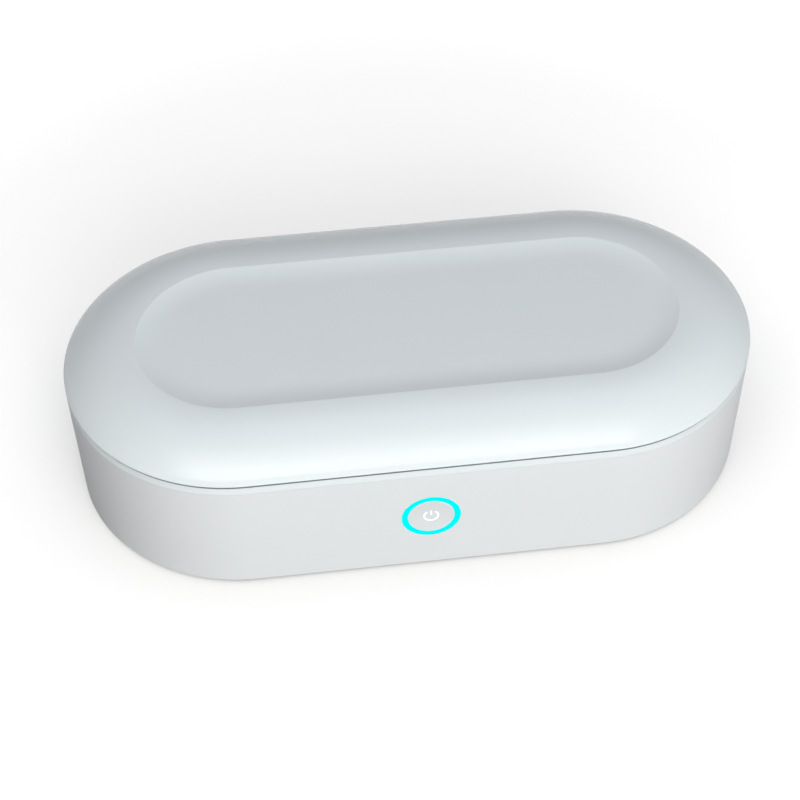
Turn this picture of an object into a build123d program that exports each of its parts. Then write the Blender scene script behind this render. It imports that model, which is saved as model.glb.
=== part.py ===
from build123d import *
import os
from math import sqrt

# UV-C sanitizer box for phones.  Millimetres, +Z up, +X to the right seen from the front, front at -Y.
# The origin is the middle of the outline at table level.  Insets are measured inwards from the outer wall.

os.makedirs("parts", exist_ok=True)

# ---------------------------------------------------------------- outer form
LENGTH = 220.0  # over the two round ends
WIDTH = 109.0  # over the two long walls; each end is a half circle of this diameter
FOOT_DROP = 1.0  # rubber feet below the housing
BASE_HEIGHT = 45.5  # housing, underside to rim
LID_GAP = 0.6  # shadow line between rim and lid
LID_LIP = 0.6  # upright edge of the lid
DOME_RISE = 8.9  # shoulder of the lid, above its lip
BORDER = 23.5  # width of the shoulder, lid edge to recess
RECESS_DEPTH = 1.0  # sunk field on the lid
RECESS_SLOPE = 9.0  # width of the concave slope round that field
RIM_CHAMFER_IN = 0.65
RIM_CHAMFER_DROP = 2.4
BOTTOM_CHAMFER = 0.6

# ---------------------------------------------------------------- walls and fits
WALL = 2.2  # base housing
COVER_WALL = 2.2  # bottom cover
TUB_WALL = 1.6
LID_WALL = 2.0
LINER_WALL = 1.6
SEAT_FIT = 0.15  # between a fixed piece and its seat, per side
SLIDE_FIT = 0.10  # radial, button and plunger
PIN_FIT = 0.05  # radial, hinge pin in the knuckle
PRESS_GAP = 0.02  # radial, pieces that are pushed or screwed home
AIR = 0.3  # smallest gap between neighbours that must not touch
PCB = 1.6  # board thickness
LED_PCB = 1.0  # thickness of the metal-core boards

# ---------------------------------------------------------------- chamber
CHAMBER_INSET = 8.0
CHAMBER_DEPTH = 16.9  # rim to floor
CHAMBER_ROUND = 7.5  # floor to wall, inside the chamber
TUB_CHAMFER = 4.5  # the same corner outside
CHAMBER_EDGE = 0.5  # bevel round the mouth of the chamber
FLANGE = 1.6  # rim flange of the tub
RIM_SEAT = 1.4  # housing wall left outside the flange
RIB_PITCH = 40.0
RIB_COUNT = 4
RIB_LENGTH = 58.0
RIB_WIDTH = 2.4
RIB_HEIGHT = 3.0
RIB_DRAFT = 12.0  # degrees

# ---------------------------------------------------------------- hinges
HINGE_SPREAD = 32.0  # each side of the middle
HINGE_INSET = 2.5  # hinge axis
HINGE_DROP = 5.0  # hinge axis below the rim
PIN_R = 1.0
PIN_EDGE = 0.2
KNUCKLE_R = 2.4
POCKET_WIDTH = 18.0
POCKET_DEEPER = 3.4  # pocket floor below the axis: the arms meet its sill at the end of the swing
POCKET_WALL = 1.2
EAR = 4.0  # pocket side walls, which carry the pin

# ---------------------------------------------------------------- button, light ring and switch
RING_DROP = 22.2  # button axis below the rim
RING_R = 9.2
RING_WIDTH = 1.8
RING_BACK_WALL = 0.75  # ring wall behind the shoulder that keeps the button in
RING_FLANGE_R = 10.4
RING_FLANGE = 0.8
BUTTON_GUIDE = 2.6  # depth of the narrow bore, from the front face
BUTTON_DISH = 0.35  # hollow of the button's face
BUTTON_DISH_R = 3.0  # flat middle of that hollow
BUTTON_EDGE = 0.3
BUTTON_WALL = 1.2
BUTTON_TRAVEL = 0.5
BUTTON_SHOULDER = 1.0
STUB_R = 2.2
PLUNGER_R = 1.6
PLUNGER_SHOWS = 0.7  # plunger in front of the switch body
PLUNGER_SEATED = 0.6  # plunger inside the switch body at rest
SWITCH_SIZE = 6.0
SWITCH_BODY = 3.1
RING_LED_SIZE = 1.6
RING_LED_HEIGHT = 0.8
RING_LED_COUNT = 6
SWITCH_BOARD_WIDTH = 34.0
SWITCH_BOARD_BELOW = 10.5  # board below the button axis
SWITCH_BOSS_X = 13.4
SWITCH_BOSS_R = 2.2

# ---------------------------------------------------------------- bottom cover, feet and screws
FOOT_R = 6.5
FOOT_SEAT = 0.9  # recess in the cover
FOOT_END = 36.0  # from the ends of the housing
FOOT_INSET = 22.0
FOOT_EDGE = 0.5
COVER_SEAT = 1.1  # housing wall left outside the cover
COLUMN_R = 3.4
COLUMN_CLEAR = 8.0  # sides of the main board to the columns
COLUMN_INSET = 19.5
HEAD_R = 2.6
HEAD = 1.1
HEAD_SINK = 0.1  # screw heads below the face of the cover
SHANK_R = 1.2
SCREW_BITE = 7.0
VENT_LENGTH = 26.0
VENT_WIDTH = 1.8
VENT_PITCH = 6.0
VENT_COUNT = 4
VENT_X = 20.0

# ---------------------------------------------------------------- main board and USB-C socket
BOARD_WIDTH = 76.0
BOARD_DEPTH = 76.0
BOARD_LIFT = 5.0  # board above the cover
BOARD_EDGE_GAP = 1.0  # board to the rear wall
BOARD_HOLE_IN = 4.0
STANDOFF_R = 3.0
PEG_R = 1.4  # pegs that hold the boards
BOARD_CORNER = 2.0
CHIP_SIZE = 9.0
CHIP_HEIGHT = 1.2
CHIP_AT = (-12.0, -6.0)  # from the middle of the board, as are the next ones
COIL_SIZE = 10.0
COIL_HEIGHT = 4.5
COIL_CORNER = 2.5
COIL_AT = (14.0, 14.0)
CAP_R = 4.0
CAP_HEIGHT = 9.0
CAP_IN = 12.0  # from the side of the board
CAP_YS = (6.0, -8.0)
PLUG_LENGTH = 10.0
PLUG_WIDTH = 6.0
PLUG_HEIGHT = 6.0
PLUG_PLACES = ((-26.0, -26.0), (-8.0, -32.0), (12.0, -32.0))
USB_WIDTH = 8.94
USB_HEIGHT = 3.26
USB_LENGTH = 7.35
USB_SKIN = 0.3
USB_SETBACK = 0.5  # socket mouth behind the outer wall
USB_X = 0.0
TONGUE_WIDTH = 6.69
TONGUE_HEIGHT = 0.7
TONGUE_BACK = 1.6
TONGUE_SETBACK = 0.7
USB_HOLE_FIT = 0.25

# ---------------------------------------------------------------- UV-C lamps
WINDOW_R = 5.0
WINDOW = 0.8
WINDOW_LEDGE = 0.6
UVC_SIZE = 3.5
UVC_HEIGHT = 1.1
UVC_GAP = 0.2  # lamp to window
LAMP_PITCH = 44.0
LAMP_COUNT = 4
BOARD_OVERHANG = 12.0  # lamp boards beyond their outer lamps
LID_BOARD_WIDTH = 22.0
BASE_BOARD_WIDTH = 18.0
BOARD_END = 6.0  # middle of a pad to the end of a lamp board
PAD_SIZE = 6.0
LID_BITE = 1.2  # how far the liner screws reach into the shell

# ---------------------------------------------------------------- lid liner, seal and magnets
LINER_RISE = 0.5  # liner rim above the lid's lower edge
LINER_TRAY = 1.6  # ceiling above the liner rim
LINER_GAP = 0.3  # liner to the inside of the shoulder
TRAY_INSET = 8.4
TRAY_DRAFT = 0.5
SEAL_INSET = 5.8
SEAL_WIDTH = 1.6
SEAL_EDGE = 0.3
SEAL_SEAT = 0.5  # groove depth in the liner
SEAL_GAP = 0.3  # seal to rim, lid closed
LID_HEAD_R = 1.9
LID_HEAD = 1.1
LID_SHANK_R = 0.9
LID_BOSS_R = 3.0
LID_BOSS_END = 52.0  # from the ends of the lid
LID_BOSS_INSET = 25.0
MAGNET_LENGTH = 10.0
MAGNET_WIDTH = 2.0
MAGNET_HEIGHT = 0.8
MAGNET_FLOOR = 0.5  # plastic between the seal groove and the magnets
MAGNET_X = 36.0
MAGNET_INSET = 6.2
KEEPER_INSET = 3.9
KEEPER_HEIGHT = 2.2
SENSOR_SIZE = (4.0, 1.5, 3.0)
SENSOR_X = 48.0


def corners(x, y):
    """Four points, front left, front right, rear left and rear right."""
    return [(sx * x, sy * y) for sy in (-1, 1) for sx in (-1, 1)]


# ---------------------------------------------------------------- levels and places that follow
HALF = WIDTH / 2
STRAIGHT = LENGTH - WIDTH
BOTTOM_Z = FOOT_DROP
COVER_TOP = BOTTOM_Z + COVER_WALL
RIM_Z = BOTTOM_Z + BASE_HEIGHT
FLANGE_Z = RIM_Z - FLANGE
LID_Z = RIM_Z + LID_GAP
LIP_Z = LID_Z + LID_LIP
TOP_Z = LIP_Z + DOME_RISE
RECESS_Z = TOP_Z - RECESS_DEPTH
LID_UNDER = RECESS_Z - LID_WALL
FLOOR_Z = RIM_Z - CHAMBER_DEPTH
TUB_UNDER = FLOOR_Z - TUB_WALL
DOME_R = (BORDER**2 + DOME_RISE**2) / (2 * DOME_RISE)
DOME_CENTRE_Z = TOP_Z - DOME_R

HINGE_Y = HALF - HINGE_INSET
HINGE_Z = RIM_Z - HINGE_DROP
POCKET_Y = HINGE_Y - KNUCKLE_R - AIR
POCKET_Z = HINGE_Z - POCKET_DEEPER
BLOCK_Y = POCKET_Y - POCKET_WALL
BLOCK_Z = POCKET_Z - POCKET_WALL
BLOCK_WIDTH = POCKET_WIDTH + 2 * EAR
ARM_WIDTH = POCKET_WIDTH - 2 * AIR
ARM_INSET = HINGE_INSET + KNUCKLE_R  # inner face of the arms
HINGE_XS = (-HINGE_SPREAD, HINGE_SPREAD)

RING_Z = RIM_Z - RING_DROP
RING_BORE = RING_R - RING_WIDTH
RING_DEPTH = CHAMBER_INSET - TUB_WALL - AIR
BUTTON_R = RING_BORE - SLIDE_FIT
BUTTON_SHOULDER_R = RING_R - RING_BACK_WALL - AIR
SWITCH_BOARD_DEPTH = RING_DEPTH + AIR + RING_LED_HEIGHT
SWITCH_FRONT_DEPTH = SWITCH_BOARD_DEPTH - SWITCH_BODY
PLUNGER_FRONT_DEPTH = SWITCH_FRONT_DEPTH - PLUNGER_SHOWS

FOOT_POINTS = corners(LENGTH / 2 - FOOT_END, HALF - FOOT_INSET)
FOOT_PLACES = ("front_left", "front_right", "rear_left", "rear_right")
COLUMN_POINTS = corners(BOARD_WIDTH / 2 + COLUMN_CLEAR, HALF - COLUMN_INSET)
HEAD_SEAT_Z = BOTTOM_Z + HEAD + HEAD_SINK

BOARD_Z = COVER_TOP + BOARD_LIFT
BOARD_TOP = BOARD_Z + PCB
BOARD_REAR = HALF - WALL - BOARD_EDGE_GAP
BOARD_Y = BOARD_REAR - BOARD_DEPTH / 2
BOARD_POINTS = [(s * (BOARD_WIDTH / 2 - BOARD_HOLE_IN), BOARD_Y) for s in (-1, 1)]
USB_Z = BOARD_TOP + USB_HEIGHT / 2
USB_MOUTH_Y = HALF - USB_SETBACK

TUB_LAMP_TOP = TUB_UNDER - UVC_GAP
BASE_BOARD_TOP = TUB_LAMP_TOP - UVC_HEIGHT
LINER_RIM_Z = LID_Z + LINER_RISE
CEILING_Z = LINER_RIM_Z + LINER_TRAY
LINER_TOP = CEILING_Z + LINER_WALL
LID_BOARD_UNDER = LINER_TOP + UVC_GAP + UVC_HEIGHT
LID_BOARD_TOP = LID_BOARD_UNDER + LED_PCB
SEAL_Z = RIM_Z + SEAL_GAP
SEAL_TOP = LINER_RIM_Z + SEAL_SEAT
MAGNET_Z = SEAL_TOP + MAGNET_FLOOR
LID_BOARD_LENGTH = (LAMP_COUNT - 1) * LAMP_PITCH + 2 * BOARD_OVERHANG
BASE_BOARD_LENGTH = 2 * RIB_PITCH + 2 * BOARD_OVERHANG
LAMP_XS = [(i - (LAMP_COUNT - 1) / 2) * LAMP_PITCH for i in range(LAMP_COUNT)]
BASE_LAMP_XS = (-RIB_PITCH, RIB_PITCH)
lid_pad_points = [(s * (LID_BOARD_LENGTH / 2 - BOARD_END), 0) for s in (-1, 1)]
base_pad_points = [(s * (BASE_BOARD_LENGTH / 2 - BOARD_END), 0) for s in (-1, 1)]
LID_BOSS_POINTS = corners(LENGTH / 2 - LID_BOSS_END, HALF - LID_BOSS_INSET)

# Planes: a half section of the stadium stands at the right end of the straight, with Y across and Z up;
# the front plane lies on the front wall, centred on the button and facing out; the socket plane faces back.
SECTION = Plane.YZ.offset(STRAIGHT / 2)
FRONT = Plane(origin=(0, -HALF, RING_Z), x_dir=(1, 0, 0), z_dir=(0, -1, 0))
BACK = Plane(origin=(USB_X, HALF, USB_Z), x_dir=(-1, 0, 0), z_dir=(0, 1, 0))


def dome_z(inset, depth=0.0):
    """Height of the shoulder at an inset, or of the surface that lies the given depth under it."""
    return DOME_CENTRE_Z + sqrt((DOME_R - depth) ** 2 - (BORDER - inset) ** 2)


def dome_inset(z, depth=0.0):
    """Inset at which the shoulder, or the surface the given depth under it, reaches height z."""
    return BORDER - sqrt((DOME_R - depth) ** 2 - (z - DOME_CENTRE_Z) ** 2)


def stadium(inset, z):
    """The outline, moved in by the inset, at height z."""
    with BuildSketch(Plane.XY.offset(z)) as outline:
        SlotOverall(LENGTH - 2 * inset, WIDTH - 2 * inset)
    return outline.sketch


def carry_round(half_section):
    """Carry a half section of the stadium along the straights and round both ends."""
    end_axis = Axis((STRAIGHT / 2, 0, 0), (0, 0, 1))
    extrude(half_section, amount=STRAIGHT / 2, dir=(-1, 0, 0))
    revolve(half_section, axis=end_axis, revolution_arc=-90)
    mirror(about=Plane.YZ)
    mirror(about=Plane.XZ)


def discs(points, radius, z, height, mode=Mode.ADD):
    """Round pads, columns or holes at the given points, rising from z."""
    with BuildSketch(Plane.XY.offset(z)) as circles:
        with Locations(*points):
            Circle(radius)
    extrude(circles.sketch, amount=height, mode=mode)


def blocks(points, length, width, z, height, mode=Mode.ADD):
    """Upright rectangular blocks or holes at the given points, rising from z."""
    with BuildSketch(Plane.XY.offset(z)) as rectangles:
        with Locations(*points):
            Rectangle(length, width)
    extrude(rectangles.sketch, amount=height, mode=mode)


def screws(points, seat_z, head_r, head, shank_r, bite):
    """Flat-headed screws, driven in from below; the heads bear on the seat."""
    with BuildPart() as group:
        discs(points, head_r, seat_z, -head)
        discs(points, shank_r, seat_z, bite)
    return group.part


def save(name, piece):
    """Label a finished piece and write it."""
    piece.label = name
    export_step(piece, f"parts/{name}.step")


# ---------------------------------------------------------------- base housing
with BuildSketch(SECTION) as housing_section:
    with BuildLine():
        Polyline(
            (HALF - COVER_SEAT, BOTTOM_Z),
            (HALF - BOTTOM_CHAMFER, BOTTOM_Z),
            (HALF, BOTTOM_Z + BOTTOM_CHAMFER),
            (HALF, RIM_Z - RIM_CHAMFER_DROP),
            (HALF - RIM_CHAMFER_IN, RIM_Z),
            (HALF - RIM_SEAT, RIM_Z),
            (HALF - RIM_SEAT, FLANGE_Z),
            (HALF - WALL, FLANGE_Z),
            (HALF - WALL, COVER_TOP),
            (HALF - COVER_SEAT, COVER_TOP),
            close=True,
        )
    make_face()

with BuildPart() as base_housing:
    carry_round(housing_section.sketch)
    # hinge pockets: a block behind the rear wall at each hinge, opened to the back and the top
    block_depth = HALF - RIM_CHAMFER_IN - BLOCK_Y
    block_mid = BLOCK_Y + block_depth / 2
    block_points = [(x, block_mid) for x in HINGE_XS]
    blocks(block_points, BLOCK_WIDTH, block_depth, BLOCK_Z, RIM_Z - BLOCK_Z)
    pocket_depth = HALF + HINGE_INSET - POCKET_Y
    pocket_points = [(x, POCKET_Y + pocket_depth / 2) for x in HINGE_XS]
    blocks(pocket_points, POCKET_WIDTH, pocket_depth, POCKET_Z, LID_Z - POCKET_Z, Mode.SUBTRACT)
    for x in HINGE_XS:
        with BuildSketch(Plane.YZ.offset(x)):
            with Locations((HINGE_Y, HINGE_Z)):
                Circle(PIN_R + PRESS_GAP)
        extrude(amount=BLOCK_WIDTH / 2 + AIR, both=True, mode=Mode.SUBTRACT)
    # posts for the switch board on the inside of the front wall, with a peg that passes through it
    for radius, depth in ((SWITCH_BOSS_R, SWITCH_BOARD_DEPTH), (PEG_R, SWITCH_BOARD_DEPTH + PCB)):
        with BuildSketch(FRONT.offset(-WALL)):
            with Locations((-SWITCH_BOSS_X, 0), (SWITCH_BOSS_X, 0)):
                Circle(radius)
        extrude(amount=WALL - depth)
    # seat of the light ring
    with BuildSketch(FRONT):
        Circle(RING_R + SLIDE_FIT)
    extrude(amount=-WALL, mode=Mode.SUBTRACT)
    # mouth for the socket
    with BuildSketch(BACK):
        SlotOverall(USB_WIDTH + 2 * USB_HOLE_FIT, USB_HEIGHT + 2 * USB_HOLE_FIT)
    extrude(amount=-WALL, mode=Mode.SUBTRACT)
save("base_housing", base_housing.part)

# ---------------------------------------------------------------- bottom cover
cover_inset = COVER_SEAT + SEAT_FIT
with BuildPart() as bottom_cover:
    extrude(stadium(cover_inset, BOTTOM_Z), amount=COVER_WALL)
    # standoffs for the main board, with a peg that passes through it
    discs(BOARD_POINTS, STANDOFF_R, COVER_TOP, BOARD_LIFT)
    discs(BOARD_POINTS, PEG_R, BOARD_Z, PCB)
    discs(COLUMN_POINTS, HEAD_R + AIR, BOTTOM_Z, HEAD_SEAT_Z - BOTTOM_Z, Mode.SUBTRACT)
    discs(COLUMN_POINTS, SHANK_R + SEAT_FIT, BOTTOM_Z, COVER_WALL, Mode.SUBTRACT)
    discs(FOOT_POINTS, FOOT_R + SEAT_FIT, BOTTOM_Z, FOOT_SEAT, Mode.SUBTRACT)
    # vents under the board
    for side in (-1, 1):
        with BuildSketch(Plane.XY.offset(BOTTOM_Z)):
            with Locations((side * VENT_X, 0)):
                with GridLocations(0, VENT_PITCH, 1, VENT_COUNT):
                    Rectangle(VENT_LENGTH, VENT_WIDTH)
        extrude(amount=COVER_WALL, mode=Mode.SUBTRACT)
save("bottom_cover", bottom_cover.part)

for place, point in zip(FOOT_PLACES, FOOT_POINTS):
    with BuildPart() as foot:
        discs([point], FOOT_R, 0, FOOT_DROP + FOOT_SEAT)
        chamfer(foot.faces().sort_by(Axis.Z)[0].edges(), FOOT_EDGE)
    save(f"foot_{place}", foot.part)

save("bottom_screws", screws(COLUMN_POINTS, HEAD_SEAT_Z, HEAD_R, HEAD, SHANK_R, SCREW_BITE))

# ---------------------------------------------------------------- chamber tub
tub_inner = HALF - CHAMBER_INSET
tub_outer = tub_inner + TUB_WALL
with BuildSketch(SECTION) as tub_section:
    with BuildLine():
        Polyline(
            (tub_inner - CHAMBER_ROUND, FLOOR_Z),
            (0, FLOOR_Z),
            (0, TUB_UNDER),
            (tub_outer - TUB_CHAMFER, TUB_UNDER),
            (tub_outer, TUB_UNDER + TUB_CHAMFER),
            (tub_outer, FLANGE_Z),
            (HALF - RIM_SEAT - SEAT_FIT, FLANGE_Z),
            (HALF - RIM_SEAT - SEAT_FIT, RIM_Z),
            (tub_inner + CHAMBER_EDGE, RIM_Z),
            (tub_inner, RIM_Z - CHAMBER_EDGE),
            (tub_inner, FLOOR_Z + CHAMBER_ROUND),
        )
        RadiusArc((tub_inner, FLOOR_Z + CHAMBER_ROUND), (tub_inner - CHAMBER_ROUND, FLOOR_Z), CHAMBER_ROUND)
    make_face()

with BuildPart() as chamber_tub:
    carry_round(tub_section.sketch)
    # columns down to the cover, one for each bottom screw
    discs(COLUMN_POINTS, COLUMN_R, COVER_TOP, TUB_UNDER - COVER_TOP)
    discs(COLUMN_POINTS, SHANK_R + PRESS_GAP, COVER_TOP, SCREW_BITE, Mode.SUBTRACT)
    # pads that the lamp board is bonded to
    blocks(base_pad_points, PAD_SIZE, PAD_SIZE, BASE_BOARD_TOP, TUB_UNDER - BASE_BOARD_TOP)
    # ribs that hold the phone off the floor, with tapered ends and sides
    with BuildSketch(Plane.XY.offset(FLOOR_Z)):
        with GridLocations(RIB_PITCH, 0, RIB_COUNT, 1):
            Rectangle(RIB_WIDTH, RIB_LENGTH)
    extrude(amount=RIB_HEIGHT, taper=RIB_DRAFT)
    # stepped holes for the windows
    lamp_points = [(x, 0) for x in BASE_LAMP_XS]
    discs(lamp_points, WINDOW_R + SEAT_FIT, TUB_UNDER, WINDOW, Mode.SUBTRACT)
    discs(lamp_points, WINDOW_R - WINDOW_LEDGE, TUB_UNDER, TUB_WALL, Mode.SUBTRACT)
    # room in the flange for the hinge blocks
    clear_depth = HALF - BLOCK_Y + SEAT_FIT
    clear_points = [(x, BLOCK_Y - SEAT_FIT + clear_depth / 2) for x in HINGE_XS]
    blocks(clear_points, BLOCK_WIDTH + 2 * SEAT_FIT, clear_depth, FLANGE_Z, FLANGE, Mode.SUBTRACT)
save("chamber_tub", chamber_tub.part)

# ---------------------------------------------------------------- hinge pins
for side, x in zip(("left", "right"), HINGE_XS):
    with BuildPart() as hinge_pin:
        with BuildSketch(Plane.YZ.offset(x)):
            with Locations((HINGE_Y, HINGE_Z)):
                Circle(PIN_R)
        extrude(amount=BLOCK_WIDTH / 2, both=True)
        chamfer(hinge_pin.edges().filter_by(GeomType.CIRCLE), PIN_EDGE)
    save(f"hinge_pin_{side}", hinge_pin.part)

# ---------------------------------------------------------------- light ring
with BuildPart() as light_ring:
    with BuildSketch(FRONT):
        Circle(RING_R)
    extrude(amount=-RING_DEPTH)
    # flange that bears on the inside of the wall
    with BuildSketch(FRONT.offset(-WALL)):
        Circle(RING_FLANGE_R)
    extrude(amount=-RING_FLANGE)
    with BuildSketch(FRONT):
        Circle(RING_BORE)
    extrude(amount=-RING_DEPTH, mode=Mode.SUBTRACT)
    # wider bore behind, whose shoulder keeps the button in
    with BuildSketch(FRONT.offset(-BUTTON_GUIDE)):
        Circle(RING_R - RING_BACK_WALL)
    extrude(amount=-(RING_DEPTH - BUTTON_GUIDE), mode=Mode.SUBTRACT)
save("light_ring", light_ring.part)

# ---------------------------------------------------------------- power button and plunger
face_y = -HALF
shoulder_y = face_y + BUTTON_GUIDE
skirt_y = shoulder_y + BUTTON_SHOULDER
stub_y = face_y + PLUNGER_FRONT_DEPTH
button_axis = Axis((0, 0, RING_Z), (0, 1, 0))
with BuildPart() as power_button:
    with BuildSketch(Plane.XY.offset(RING_Z)):
        with BuildLine():
            Polyline(
                (BUTTON_DISH_R, face_y + BUTTON_DISH),
                (BUTTON_R - BUTTON_EDGE, face_y),
                (BUTTON_R, face_y + BUTTON_EDGE),
                (BUTTON_R, shoulder_y),
                (BUTTON_SHOULDER_R, shoulder_y),
                (BUTTON_SHOULDER_R, skirt_y),
                (BUTTON_R - BUTTON_WALL, skirt_y),
                (BUTTON_R - BUTTON_WALL, face_y + BUTTON_DISH + BUTTON_WALL),
                (STUB_R, face_y + BUTTON_DISH + BUTTON_WALL),
                (STUB_R, stub_y),
                (0, stub_y),
                (0, face_y + BUTTON_DISH),
                close=True,
            )
        make_face()
    revolve(axis=button_axis)
save("power_button", power_button.part)

with BuildPart() as switch_plunger:
    with BuildSketch(FRONT.offset(-PLUNGER_FRONT_DEPTH)):
        Circle(PLUNGER_R)
    extrude(amount=-(PLUNGER_SHOWS + PLUNGER_SEATED))
save("switch_plunger", switch_plunger.part)

# ---------------------------------------------------------------- switch board, switch and ring lamps
switch_board_height = SWITCH_BOARD_BELOW + TUB_UNDER - RING_Z
with BuildPart() as switch_board:
    with BuildSketch(FRONT.offset(-SWITCH_BOARD_DEPTH)):
        with Locations((0, -SWITCH_BOARD_BELOW)):
            Rectangle(SWITCH_BOARD_WIDTH, switch_board_height, align=(Align.CENTER, Align.MIN))
        with Locations((-SWITCH_BOSS_X, 0), (SWITCH_BOSS_X, 0)):
            Circle(PEG_R + SEAT_FIT, mode=Mode.SUBTRACT)
    extrude(amount=-PCB)
save("switch_board", switch_board.part)

with BuildPart() as tact_switch:
    with BuildSketch(FRONT.offset(-SWITCH_BOARD_DEPTH)):
        Rectangle(SWITCH_SIZE, SWITCH_SIZE)
    extrude(amount=SWITCH_BODY)
    with BuildSketch(FRONT.offset(-SWITCH_FRONT_DEPTH)):
        Circle(PLUNGER_R + SLIDE_FIT)
    extrude(amount=-(PLUNGER_SEATED + BUTTON_TRAVEL + AIR), mode=Mode.SUBTRACT)
save("tact_switch", tact_switch.part)

ring_led_r = RING_R - RING_BACK_WALL / 2
with BuildPart() as ring_leds:
    with BuildSketch(FRONT.offset(-SWITCH_BOARD_DEPTH)):
        with PolarLocations(ring_led_r, RING_LED_COUNT, start_angle=-180, angular_range=180, endpoint=True):
            Rectangle(RING_LED_SIZE, RING_LED_SIZE)
    extrude(amount=RING_LED_HEIGHT)
save("ring_leds", ring_leds.part)


# ---------------------------------------------------------------- main board and what it carries
def on_board(places):
    """Places given from the middle of the board."""
    return [(x, BOARD_Y + y) for x, y in places]


with BuildPart() as main_board:
    with BuildSketch(Plane.XY.offset(BOARD_Z)):
        with Locations((0, BOARD_Y)):
            RectangleRounded(BOARD_WIDTH, BOARD_DEPTH, BOARD_CORNER)
        with Locations(*BOARD_POINTS):
            Circle(PEG_R + SEAT_FIT, mode=Mode.SUBTRACT)
    extrude(amount=PCB)
save("main_board", main_board.part)

with BuildPart() as controller_chip:
    blocks(on_board([CHIP_AT]), CHIP_SIZE, CHIP_SIZE, BOARD_TOP, CHIP_HEIGHT)
save("controller_chip", controller_chip.part)

with BuildPart() as power_inductor:
    blocks(on_board([COIL_AT]), COIL_SIZE, COIL_SIZE, BOARD_TOP, COIL_HEIGHT)
    chamfer(power_inductor.edges().filter_by(Axis.Z), COIL_CORNER)
save("power_inductor", power_inductor.part)

with BuildPart() as capacitors:
    discs(on_board([(BOARD_WIDTH / 2 - CAP_IN, y) for y in CAP_YS]), CAP_R, BOARD_TOP, CAP_HEIGHT)
save("capacitors", capacitors.part)

with BuildPart() as board_connectors:
    blocks(on_board(PLUG_PLACES), PLUG_LENGTH, PLUG_WIDTH, BOARD_TOP, PLUG_HEIGHT)
save("board_connectors", board_connectors.part)

with BuildPart() as usb_socket:
    with BuildSketch(BACK.offset(-USB_SETBACK)):
        SlotOverall(USB_WIDTH, USB_HEIGHT)
    extrude(amount=-USB_LENGTH)
    with BuildSketch(BACK.offset(-USB_SETBACK)):
        SlotOverall(USB_WIDTH - 2 * USB_SKIN, USB_HEIGHT - 2 * USB_SKIN)
    extrude(amount=-(USB_LENGTH - TONGUE_BACK), mode=Mode.SUBTRACT)
save("usb_socket", usb_socket.part)

with BuildPart() as usb_tongue:
    with BuildSketch(BACK.offset(-USB_SETBACK - TONGUE_SETBACK)):
        Rectangle(TONGUE_WIDTH, TONGUE_HEIGHT)
    extrude(amount=-(USB_LENGTH - TONGUE_BACK - TONGUE_SETBACK))
save("usb_tongue", usb_tongue.part)

# ---------------------------------------------------------------- latch keepers and lid sensor
keeper_y = -HALF + KEEPER_INSET + MAGNET_WIDTH / 2
with BuildPart() as base_magnets:
    keeper_points = [(-MAGNET_X, keeper_y), (MAGNET_X, keeper_y)]
    blocks(keeper_points, MAGNET_LENGTH, MAGNET_WIDTH, FLANGE_Z, -KEEPER_HEIGHT)
save("base_magnets", base_magnets.part)

with BuildPart() as lid_sensor:
    sensor_length, sensor_width, sensor_height = SENSOR_SIZE
    blocks([(SENSOR_X, keeper_y)], sensor_length, sensor_width, FLANGE_Z, -sensor_height)
save("lid_sensor", lid_sensor.part)


# ---------------------------------------------------------------- UV-C lamps
def lamp_board(length, width, under_z):
    """Metal-core strip that carries the lamps."""
    with BuildPart() as strip:
        blocks([(0, 0)], length, width, under_z, LED_PCB)
        chamfer(strip.edges().filter_by(Axis.Z), LED_PCB)
    return strip.part


def lamps(xs, z, height):
    """Square UV-C packages in a row."""
    with BuildPart() as group:
        blocks([(x, 0) for x in xs], UVC_SIZE, UVC_SIZE, z, height)
    return group.part


def windows(xs, z):
    """Round quartz windows in a row."""
    with BuildPart() as group:
        discs([(x, 0) for x in xs], WINDOW_R, z, WINDOW)
    return group.part


save("base_led_board", lamp_board(BASE_BOARD_LENGTH, BASE_BOARD_WIDTH, BASE_BOARD_TOP - LED_PCB))
save("base_uvc_leds", lamps(BASE_LAMP_XS, BASE_BOARD_TOP, UVC_HEIGHT))
save("base_windows", windows(BASE_LAMP_XS, TUB_UNDER))

# ---------------------------------------------------------------- lid shell
def facets(inset_from, inset_to, depth):
    """Two straight slopes that follow the surface lying the given depth under the shoulder."""
    insets = (inset_from, (inset_from + inset_to) / 2, inset_to)
    return [(HALF - inset, dome_z(inset, depth)) for inset in insets]


rim_in = dome_inset(LID_Z, LID_WALL)
under_inset = dome_inset(LID_UNDER, LID_WALL)
with BuildSketch(SECTION) as lid_section:
    with BuildLine():
        Polyline((0, LID_UNDER), (0, RECESS_Z), (HALF - BORDER - RECESS_SLOPE, RECESS_Z))
        TangentArc((HALF - BORDER - RECESS_SLOPE, RECESS_Z), (HALF - BORDER, TOP_Z), tangent=(1, 0))
        RadiusArc((HALF - BORDER, TOP_Z), (HALF, LIP_Z), DOME_R)
        Polyline((HALF, LIP_Z), (HALF, LID_Z), *facets(rim_in, under_inset, LID_WALL), (0, LID_UNDER))
    make_face()

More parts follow.
